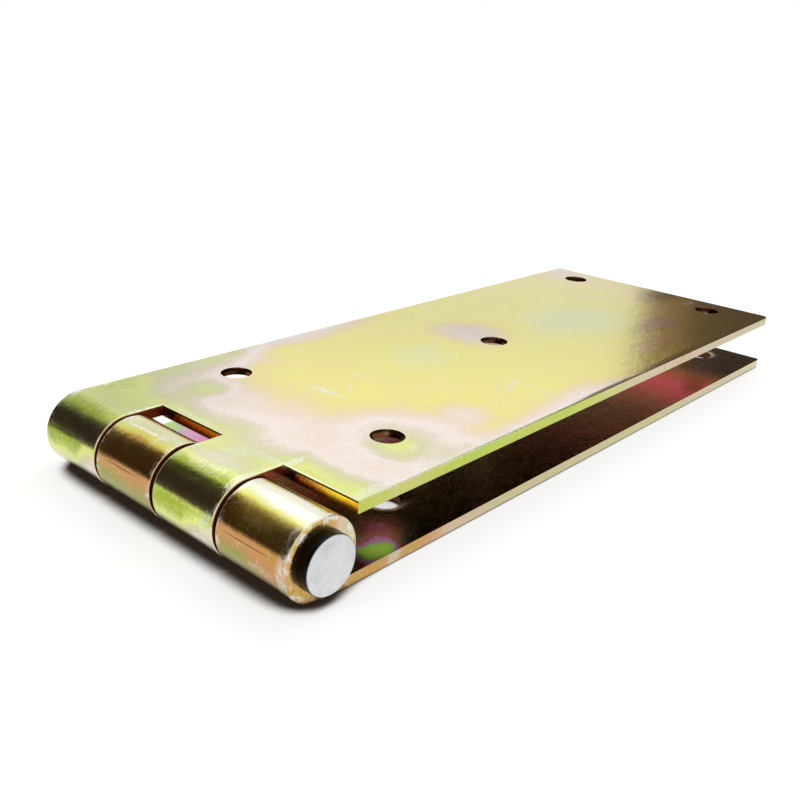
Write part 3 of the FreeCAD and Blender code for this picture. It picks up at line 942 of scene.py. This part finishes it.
LOWER_FINISH = YellowZinc(
    name="yellow_zinc_lower",
    side=Side.LOWER,
    outer=Film(
        along=((-104.0, 0.52), (-80.0, 0.55), (-60.0, 0.32), (30.0, 0.28), (104.0, 0.30)),
        colours=(
            (0.00, "F4F0DE"), (0.14, "D6D5A6"), (0.27, "DBD870"), (0.34, "D4C462"), (0.42, "C09A44"),
            (0.55, "CC9460"), (0.70, "B89A5A"), (0.85, "9FA354"), (1.00, "B7A070"),
        ),
        blooms=(
            # The first bloom makes the end knuckle's top paler: partly the film's own change, partly a painted
            # highlight.
            Bloom((-95.0, -30.0, 17.5), (8.5, 14.0, 4.0), -0.26),
            Bloom((-98.6, -29.0, 15.8), (4.0, 14.0, 3.0), 0.03),
            Bloom((-90.0, -30.0, 15.0), (6.0, 14.0, 5.0), -0.3),
            Bloom((-103.5, -36.0, 7.0), (5.0, 7.0, 6.0), -0.14),
            Bloom((-103.5, 16.0, 7.5), (5.0, 7.0, 6.0), 0.12),
            Bloom((-103.5, -27.0, 6.0), (5.0, 5.0, 5.0), 0.14),
            Bloom((-97.5, 12.0, 16.6), (4.0, 5.0, 3.0), 0.10),
            Bloom((-40.0, 10.0, 0.0), (30.0, 26.0, 6.0), 0.24),
            Bloom((45.0, -12.0, 0.0), (34.0, 22.0, 6.0), -0.12),
        ),
        drift=0.07,
    ),
    # Partly painted light: the pale top is a painted highlight, the browner back painted shade.
    roll_film_and_painted_light=(
        (30.0, 0.55), (74.0, 0.5), (82.0, 0.14), (97.0, 0.14), (104.0, 0.21), (111.0, 0.28), (118.0, 0.39),
        (127.0, 0.40), (150.0, 0.40), (156.0, 0.48), (163.0, 0.55), (175.0, 0.62), (187.0, 0.76),
        (205.0, 0.80),
        (270.0, 0.52), (390.0, 0.3),
    ),
    inner=Film(
        along=(
            (-110.0, 0.06), (-10.0, 0.05), (20.0, 0.07), (38.0, 0.12), (46.0, 0.22), (55.0, 0.37),
            (63.0, 0.35),
            (73.0, 0.10), (80.0, -0.02), (104.0, -0.04),
        ),
        colours=INNER_COLOURS,
        blooms=(
            Bloom((-72.0, 44.0, 2.5), (16.0, 34.0, 8.0), 0.88),
            Bloom((-38.0, 1.0, 2.5), (15.0, 13.0, 8.0), 0.72),
            Bloom((-71.0, -31.0, 2.5), (9.0, 7.0, 8.0), 0.38),
            Bloom((-78.5, -37.0, 2.5), (9.5, 6.0, 8.0), 1.2),
            Bloom((-73.0, -11.0, 2.5), (16.0, 18.0, 8.0), 0.26),
            Bloom((49.0, -38.0, 2.5), (10.0, 6.0, 8.0), 0.12),
        ),
        grain=0.16,
    ),
    cut=Film(
        along=(
            (-104.0, 0.22), (-88.0, 0.24), (-82.0, 0.22), (-70.0, 0.24), (-64.0, 0.36), (-56.0, 0.50),
            (-40.0, 0.62), (10.0, 0.66),
            (104.0, 0.62),
        ),
        colours=CUT_COLOURS,
        blooms=(
            Bloom((-76.0, -40.0, 1.2), (5.0, 6.0, 6.0), 0.30),
            Bloom((-95.0, 0.0, 8.5), (12.0, 36.0, 16.0), -0.12),
            Bloom((-88.5, -41.0, 13.5), (6.0, 6.0, 6.0), 0.45),
            *hole_blooms(1.0),
        ),
    ),
    marks=(
        Mark((-96.2, 11.0, 16.9), (0.6, 9.0, 1.5), 2.0, 0.9),
        Mark((-97.0, 6.2, 16.0), (4.5, 0.25, 3.0), 0.0, 0.7),
        Mark((-98.0, -38.2, 13.0), (6.0, 1.5, 6.0), 0.0, 0.9),
        Mark((-102.5, -38.2, 7.0), (3.0, 1.5, 7.0), 0.0, 0.8),
        Mark((-103.0, -33.0, 7.0), (2.0, 5.0, 1.2), 0.0, 0.35),
        Mark((-95.0, -21.2, 16.8), (5.0, 1.2, 3.0), 0.0, 0.8),
    ),
    painted_shade=((-200.0, 0.0), (200.0, 0.0)),
    creases_and_dark_rim_lines=(
        Mark((-102.97, 10.5, 10.83), (0.8, 8.3, 0.13), 0.0, 1.0),
        Mark((-103.06, -29.5, 10.47), (0.8, 9.3, 0.11), 0.0, 1.0),
    ),
    dull=(
        Mark((-98.0, -30.0, 15.2), (6.0, 13.0, 4.0), 0.0, 0.16),
        Mark((-77.0, -33.0, 2.5), (15.0, 13.0, 4.0), 0.0, 0.15),
    ),
    powdery=(Mark((-76.5, -35.0, 2.5), (7.5, 5.5, 3.0), 0.0, 0.8),),
)


@dataclass
class Leaf:
    """One leaf: a flat plate whose end is rolled into two knuckles.

    Attributes:
        side: Upper or lower. Both are one pressing, and the lower one is turned over.
        node: The CAD node that it stands for.
        finish: What it is dressed in.
    """

    side: Side
    node: str
    finish: YellowZinc

    def build(self) -> bpy.types.Object:
        """Models the leaf in its place."""
        piece = self.press_blank()
        self.roll_knuckles(piece)
        self.round_edges(piece)
        self.sink_holes(piece)
        self.turn_over(piece)
        self.dress(piece)
        return piece

    def press_blank(self) -> bpy.types.Object:
        """Makes the flat plate, from the back of the notches to the free end."""
        s = SIZES
        clear_selection()
        bpy.ops.mesh.primitive_cube_add(
            size=1.0,
            location=point((s.plate_start + s.free_end) / 2, 0.0, s.top - s.gauge / 2),
            scale=point(s.free_end - s.plate_start, s.width, s.gauge),
        )
        piece = new_piece(f"{self.side.value}_leaf_sheet")
        bpy.ops.object.mode_set(mode="EDIT")
        borders = (-s.pitch + s.knuckle_gap / 2, -s.knuckle_gap / 2, s.pitch + s.knuckle_gap / 2)
        for border in borders:
            bpy.ops.mesh.select_all(action="SELECT")
            bpy.ops.mesh.bisect(plane_co=point(0.0, border, 0.0), plane_no=(0.0, 1.0, 0.0))
        return piece

    def roll_knuckles(self, piece: bpy.types.Object) -> None:
        """Draws the two knuckles' strips out to the pin and rolls them round it."""
        s = SIZES

        def in_knuckle(corners: list[Vector], normal: Vector | None) -> bool:
            """Picks the knuckles' faces at the back of the notches."""
            middle = sum((corner.y for corner in corners), 0.0) / len(corners)
            at_start = all(abs(corner.x - s.plate_start) < NEAR for corner in corners)
            return at_start and (-s.pitch < middle < 0.0 or middle > s.pitch)

        select(piece, Pick.FACE, in_knuckle)
        bpy.ops.mesh.extrude_region_move(TRANSFORM_OT_translate={"value": point(-s.notch_back, 0.0, 0.0)})
        bpy.ops.mesh.spin(
            steps=s.roll_steps, angle=math.radians(s.roll_sweep),
            center=point(s.axis_x, 0.0, s.axis_z), axis=(0.0, 1.0, 0.0),
        )
        bpy.ops.mesh.select_all(action="SELECT")
        bpy.ops.mesh.remove_doubles(threshold=1e-6)
        bpy.ops.mesh.normals_make_consistent(inside=False)
        bpy.ops.object.mode_set(mode="OBJECT")

    def on_outer(self, place: Vector) -> bool:
        """Tells whether a place lies on the outer face of the plate or the roll."""
        s = SIZES
        on_plate = place.x > s.axis_x - NEAR and abs(place.z - s.axis_z - s.roll_radius) < NEAR
        on_roll = abs(math.hypot(place.x - s.axis_x, place.z - s.axis_z) - s.roll_radius) < NEAR
        return on_plate or on_roll

    def round_edges(self, piece: bpy.types.Object) -> None:
        """Rounds the free corners, then the outline of the outer face and the sides of the knuckles."""
        s = SIZES

        def free_corner(corners: list[Vector], normal: Vector | None) -> bool:
            """Picks the two upright edges of the free end."""
            upright = abs(corners[0].z - corners[1].z) > s.gauge / 2
            at_end = all(abs(corner.x - s.free_end) < NEAR for corner in corners)
            return upright and at_end and all(abs(abs(corner.y) - s.width / 2) < NEAR for corner in corners)

        select(piece, Pick.EDGE, free_corner)
        bpy.ops.mesh.bevel(offset=s.corner_radius * MM, segments=8, affect="EDGES")
        if self.side is Side.LOWER:
            self.select_outline(piece, True)
            self.round_selected(s.knuckle_end_radius, 6)
        self.select_outline(piece, False)
        self.round_selected(s.edge_radius if self.side is Side.UPPER else s.edge_radius_below, 4)
        bpy.ops.object.mode_set(mode="OBJECT")

    def round_selected(self, radius: float, segments: int) -> None:
        """Rounds the selected edges by a radius in millimetres."""
        bpy.ops.mesh.bevel(offset=radius * MM, segments=segments, affect="EDGES", clamp_overlap=False)

    def select_outline(self, piece: bpy.types.Object, knuckle_end: bool) -> None:
        """Selects the sharp edges of the outer face.

        Args:
            piece: The leaf.
            knuckle_end: Only the near end of the end knuckle, instead of all.
        """
        s = SIZES
        bpy.ops.mesh.select_mode(type="EDGE")
        bpy.ops.mesh.select_all(action="DESELECT")
        bpy.ops.mesh.edges_select_sharp(sharpness=math.radians(50.0))
        bpy.ops.object.mode_set(mode="OBJECT")
        mesh = piece.data
        for edge in mesh.edges:
            if not edge.select:
                continue
            ends = [mesh.vertices[i].co / MM for i in edge.vertices]
            keep = all(self.on_outer(end) for end in ends)
            along_roll = ends[0].z < s.axis_z + s.bore_radius and abs(ends[0].y - ends[1].y) > 1.0
            keep = keep and not along_roll
            if knuckle_end:
                keep = keep and all(abs(end.y - s.width / 2) < NEAR and end.x < s.axis_x + 0.05 for end in ends)
            edge.select = keep
        # A face or a corner that stays selected would select its edges again.
        for part in (*mesh.vertices, *mesh.polygons):
            part.select = False
        for edge in mesh.edges:
            if edge.select:
                for i in edge.vertices:
                    mesh.vertices[i].select = True
        bpy.ops.object.mode_set(mode="EDIT")

    def sink_holes(self, piece: bpy.types.Object) -> None:
        """Cuts the five screw holes, countersunk from the inner face."""
        s = SIZES
        shift = s.row_shift if self.side is Side.UPPER else -s.row_shift
        centres = [(s.axis_x + along, across + shift) for along, across in s.holes]
        past = 1.0
        sink_top = s.top - s.gauge + s.sink_depth
        deep = s.sink_depth + past
        wide = 1.0 + (s.sink_radius - s.hole_radius) / s.sink_depth * deep / s.hole_radius
        clear_selection()
        punches = []
        for centre in centres:
            bpy.ops.mesh.primitive_cylinder_add(
                vertices=96, radius=s.hole_radius * MM, depth=(s.top + past - sink_top) * MM,
                location=point(*centre, (s.top + past + sink_top) / 2),
            )
            punch = new_piece("punch")
            select(punch, Pick.FACE, lambda corners, normal: normal.z < -0.5)
            bpy.ops.mesh.extrude_region_move(TRANSFORM_OT_translate={"value": point(0.0, 0.0, -deep)})
            bpy.ops.transform.resize(value=(wide, wide, 1.0), center_override=point(*centre, sink_top - deep))
            bpy.ops.object.mode_set(mode="OBJECT")
            punches.append(punch)
            punch.select_set(False)
        for punch in punches:
            punch.select_set(True)
        bpy.context.view_layer.objects.active = punches[0]
        bpy.ops.object.join()
        cutter = bpy.context.active_object
        clear_selection()
        piece.select_set(True)
        apply_modifier(piece, "BOOLEAN", operation="DIFFERENCE", solver="EXACT", object=cutter)
        bpy.data.objects.remove(cutter, do_unlink=True)

        def at_rim(corner: Vector) -> bool:
            """Tells whether a corner lies on a hole's rim."""
            reach = min(math.hypot(corner.x - x, corner.y - y) for x, y in centres)
            return abs(corner.z - s.top) < NEAR / 2 and reach < s.hole_radius + NEAR

        select(piece, Pick.EDGE, lambda corners, normal: all(at_rim(corner) for corner in corners))
        self.round_selected(s.hole_rim, 2)
        bpy.ops.object.mode_set(mode="OBJECT")

    def turn_over(self, piece: bpy.types.Object) -> None:
        """Turns the lower leaf over about the line of the pin's height."""
        if self.side is Side.UPPER:
            return
        bpy.ops.object.mode_set(mode="EDIT")
        bpy.ops.mesh.select_all(action="SELECT")
        bpy.ops.transform.rotate(value=math.pi, orient_axis="X", center_override=point(0.0, 0.0, SIZES.axis_z))
        bpy.ops.object.mode_set(mode="OBJECT")

    def dress(self, piece: bpy.types.Object) -> None:
        """Smooths the leaf, gives it its finish and ties it to its body."""
        clear_selection()
        piece.select_set(True)
        bpy.context.view_layer.objects.active = piece
        smooth(piece)
        piece.data.materials.clear()
        piece.data.materials.append(self.finish.make())
        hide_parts(self.node)
        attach(piece, self.side.value)
        LOG.info("%s: %d faces", piece.name, len(piece.data.polygons))


@dataclass
class Pin:
    """The plain pin, held in the lower leaf's knuckles."""

    finish: BrightSteel

    def build(self) -> bpy.types.Object:
        """Models the pin in its place."""
        s = SIZES
        clear_selection()
        bpy.ops.mesh.primitive_cylinder_add(
            vertices=128, radius=s.pin_radius * MM, depth=2 * s.pin_half_length * MM,
            location=point(s.axis_x, 0.0, s.axis_z), rotation=(math.pi / 2, 0.0, 0.0),
        )
        piece = new_piece("pin_bar")
        select(piece, Pick.EDGE, lambda corners, normal: abs(corners[0].y - corners[1].y) < NEAR)
        bpy.ops.mesh.bevel(offset=s.pin_chamfer * MM, segments=4, affect="EDGES")
        select(piece, Pick.FACE, lambda corners, normal: len(corners) > 8)
        bpy.ops.mesh.inset(thickness=s.pin_end_rim * MM, use_individual=True)
        bpy.ops.object.mode_set(mode="OBJECT")
        smooth(piece)
        piece.data.materials.clear()
        piece.data.materials.append(self.finish.make())
        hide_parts("hinge_pin")
        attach(piece, "lower")
        LOG.info("%s: %d faces", piece.name, len(piece.data.polygons))
        return piece


@dataclass(frozen=True)
class Card:
    """A flat card that stands round the object and shows only in what the metal reflects.

    Attributes:
        name: The card's name.
        seen_from: The place that its angles are counted from, in millimetres.
        azimuth: Degrees from +X towards +Y to the card's middle.
        elevation: Degrees above the horizon to the card's middle.
        spread: Width and height, in degrees.
        colour: Its hex colour.
        roll: Degrees that it leans about the line to it.
        glow: Light that it gives off, or 0 for a plain card.
        distance: How far away its middle is, in millimetres.
    """

    name: str
    seen_from: Triple
    azimuth: float
    elevation: float
    spread: Span
    colour: str
    roll: float = 0.0
    glow: float = 0.0
    distance: float = 2500.0


@dataclass
class Studio:
    """White floor, white surroundings, dark cards, one soft lamp and the camera.

    Attributes:
        camera_place: The camera's place, in millimetres.
        camera_turn: Its turn, as the rows of a matrix.
        lens: Its lens, in millimetres.
        sensor: Its sensor's width, in millimetres.
        cards: The cards.
        floor_size: The floor's width, in metres.
        floor_drop: How far the floor lies below the object, in millimetres.
        floor_lift: The share of the floor's look that is the backdrop's plain white.
        floor_glow: The strength of that white.
        contact_reach: How far the painted contact shadow under the object reaches, in metres.
        contact_open: How open the sky is where that painted shadow is full and where it ends.
        shadowed_paper: The floor's colours: a painted contact shadow under the object, and the pale floor in the
            open.
        backdrop: The same of its plain white share, darkened under the object by the same painted contact shadow.
        lamp_place: The lamp's place, in metres.
        lamp_size: Its width, in metres.
        lamp_power: Its power, in watts.
    """

    camera_place: Triple = (-193.07, -140.81, 95.31)
    camera_turn: tuple[Triple, Triple, Triple] = (
        (0.668991, 0.239576, -0.703601),
        (-0.741272, 0.284433, -0.607959),
        (0.054475, 0.928279, 0.367874),
    )
    lens: float = 41.467
    sensor: float = 36.0
    cards: tuple[Card, ...] = (
        Card("dark_card_left", (-95.0, 0.0, 10.0), 134.0, 20.0, (47.6, 76.0), "423436", 14.9),
        Card("dark_card_low", (-103.0, 30.0, 11.0), 125.0, -2.7, (14.0, 5.4), "423436", distance=100.0),
        Card("dark_card_right", (-193.0, -141.0, -61.0), 0.0, 15.0, (45.0, 44.0), "5A4C46", 7.7),
        Card("grey_card_right", (-193.0, -141.0, -61.0), 24.6, 15.0, (2.6, 44.0), "8E7058", 1.9),
        Card("bright_card", (-95.0, 0.0, 10.0), 64.0, 57.0, (40.0, 25.0), "FFFFFF", 34.7, 2.1),
    )
    floor_size: float = 6.0
    floor_drop: float = 0.05
    floor_lift: float = 0.6
    floor_glow: float = 1.12
    contact_reach: float = 0.012
    contact_open: Span = (0.32, 0.6)
    shadowed_paper: tuple[str, str] = ("3A2E26", "EDEBE8")
    backdrop: tuple[str, str] = ("302620", "FFFFFF")
    lamp_place: Triple = (0.75, 0.25, 0.85)
    lamp_size: float = 0.9
    lamp_power: float = 5.0

    def build(self) -> None:
        """Sets up the whole studio."""
        self.set_camera()
        self.light_world()
        self.lay_floor()
        self.hang_lamp()
        for card in self.cards:
            self.stand_card(card)
        bpy.context.scene.view_settings.view_transform = "Standard"

    def set_camera(self) -> None:
        """Puts the camera where the photograph was taken."""
        data = bpy.data.cameras.new("camera")
        data.lens = self.lens
        data.sensor_width = self.sensor
        data.clip_start = 0.005
        camera = bpy.data.objects.new("camera", data)
        bpy.context.scene.collection.objects.link(camera)
        camera.matrix_world = Matrix.Translation(point(*self.camera_place)) @ Matrix(self.camera_turn).to_4x4()
        bpy.context.scene.camera = camera

    def light_world(self) -> None:
        """Makes the surroundings plain white."""
        world = bpy.data.worlds.new("white_studio")
        world.use_nodes = True
        tree = world.node_tree
        tree.nodes.clear()
        white = add_node(tree, "Background", Color=(1.0, 1.0, 1.0, 1.0), Strength=1.0)
        add_node(tree, "OutputWorld", Surface=white.outputs[0])
        bpy.context.scene.world = world

    def lay_floor(self) -> None:
        """Lays the pale floor, which stays white in view and in gloss, keeps the object's shadow, and darkens under
        the object with a painted contact shadow.
        """
        clear_selection()
        bpy.ops.mesh.primitive_plane_add(size=self.floor_size, location=point(0.0, 0.0, -self.floor_drop))
        floor = new_piece("floor")
        material, tree = empty_material("white_paper")
        # Painted contact shadow: the floor's colours darken where ambient occlusion finds the object close by.
        sky = add_node(tree, "AmbientOcclusion", {"samples": 32}, Distance=self.contact_reach).outputs["AO"]
        light = add_node(tree, "MapRange", SMOOTH, Value=sky, **runs(self.contact_open)).outputs[0]
        shadowed_paper, backdrop = (
            add_node(tree, "Mix", COLOURS, i0=light, i6=linear(dark), i7=linear(open_air)).outputs[2]
            for dark, open_air in (self.shadowed_paper, self.backdrop)
        )
        matt = add_node(tree, "BsdfDiffuse", Color=shadowed_paper)
        glow = add_node(tree, "Emission", Color=backdrop, Strength=self.floor_glow)
        seen = add_node(tree, "LightPath").outputs
        kinds = ("Is Camera Ray", "Is Glossy Ray", "Is Transmission Ray")
        direct = combine(tree, "MAXIMUM", *(seen[kind] for kind in kinds))
        lift = combine(tree, "MULTIPLY", direct, self.floor_lift)
        both = add_node(tree, "MixShader", i0=lift, i1=matt.outputs[0], i2=glow.outputs[0])
        add_node(tree, "OutputMaterial", Surface=both.outputs[0])
        floor.data.materials.append(material)

    def hang_lamp(self) -> None:
        """Hangs a soft lamp behind the free end, which throws the barrel's short shadow forward."""
        data = bpy.data.lights.new("soft_lamp", "AREA")
        data.shape = "SQUARE"
        data.size = self.lamp_size
        data.energy = self.lamp_power
        lamp = bpy.data.objects.new("soft_lamp", data)
        bpy.context.scene.collection.objects.link(lamp)
        place = Vector(self.lamp_place)
        lamp.matrix_world = Matrix.Translation(place) @ place.to_track_quat("Z", "Y").to_matrix().to_4x4()
        lamp.visible_glossy = False

    def stand_card(self, card: Card) -> None:
        """Stands one card at its angle from the place that it is seen from."""
        clear_selection()
        turn, rise = math.radians(card.azimuth), math.radians(card.elevation)
        way = Vector((math.cos(turn) * math.cos(rise), math.sin(turn) * math.cos(rise), math.sin(rise)))
        far = card.distance * MM
        wide, high = (2 * far * math.tan(math.radians(angle / 2)) for angle in card.spread)
        facing = way.to_track_quat("Z", "Y") @ Quaternion((0.0, 0.0, 1.0), math.radians(card.roll))
        middle = Vector(point(*card.seen_from)) + way * far
        bpy.ops.mesh.primitive_plane_add(size=1.0, location=middle, rotation=facing.to_euler())
        bpy.context.active_object.scale = (wide, high, 1.0)
        piece = new_piece(card.name)
        material, tree = empty_material(card.name)
        if card.glow:
            surface = add_node(tree, "Emission", Color=linear(card.colour), Strength=card.glow)
        else:
            surface = add_node(tree, "BsdfDiffuse", Color=linear(card.colour))
        add_node(tree, "OutputMaterial", Surface=surface.outputs[0])
        piece.data.materials.append(material)
        piece.visible_camera = False
        piece.visible_diffuse = False
        piece.visible_shadow = False


def main() -> None:
    """Builds the hinge and its studio."""
    logging.basicConfig(level=logging.INFO, format="%(message)s")
    Studio().build()
    Leaf(Side.UPPER, "upper_leaf", UPPER_FINISH).build()
    Leaf(Side.LOWER, "lower_leaf", LOWER_FINISH).build()
    Pin(BrightSteel()).build()


if __name__ == "__main__":
    main()
